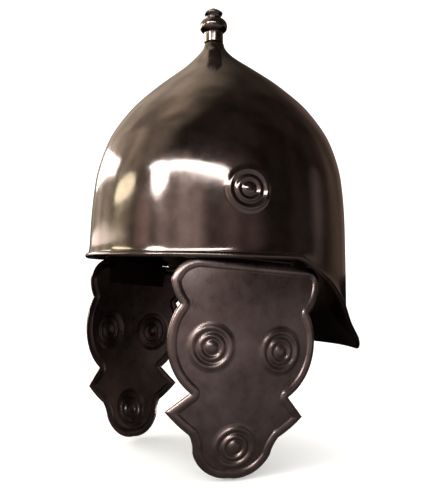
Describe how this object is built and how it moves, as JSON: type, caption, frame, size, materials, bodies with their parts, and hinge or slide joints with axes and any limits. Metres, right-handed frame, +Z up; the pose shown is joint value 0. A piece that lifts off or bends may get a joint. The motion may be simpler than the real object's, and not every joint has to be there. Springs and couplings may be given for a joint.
{
  "type": "roman legionary helmet",
  "caption": "Steel helmet with a domed bowl drawn up to a turned finial, a rolled rim, a flared neck guard and hinged cheek guards with embossed rings.",
  "frame": {"origin": "middle of the head opening, just below the rim at the sides", "axes": "+Z up to the finial, -Y is the way the wearer faces, +X is the wearer's left"},
  "size_m": [0.2138, 0.2411, 0.3815],
  "materials": {
    "bowl_steel": "dark antiqued steel, polished until it mirrors, with faint hammer and buffing waves",
    "guard_steel": "dark antiqued steel, satin, darker in the grooves and brighter on the raised border and rings",
    "hinge_steel": "plain dark steel, unpolished"
  },
  "bodies": {
    "bowl": {"bowl": "bowl_steel", "finial": "bowl_steel", "hinge_bowl_leaf_left": "hinge_steel", "hinge_bowl_leaf_right": "hinge_steel", "hinge_pin_left": "hinge_steel", "hinge_pin_right": "hinge_steel"},
    "guard_left": {"cheek_guard_left": "guard_steel", "hinge_cheek_leaf_left": "hinge_steel"},
    "guard_right": {"cheek_guard_right": "guard_steel", "hinge_cheek_leaf_right": "hinge_steel"}
  },
  "joints": [
    {"name": "left_cheek_hinge", "type": "hinge", "parent": "bowl", "child": "guard_left", "pos_m": [0.08527, -0.03037, 0.00241], "axis": [-0.242, -0.9652, 0.0993], "range_deg": [-26, 20]},
    {"name": "right_cheek_hinge", "type": "hinge", "parent": "bowl", "child": "guard_right", "pos_m": [-0.08527, -0.03037, 0.00241], "axis": [-0.242, 0.9652, -0.0993], "range_deg": [-26, 20]}
  ]
}
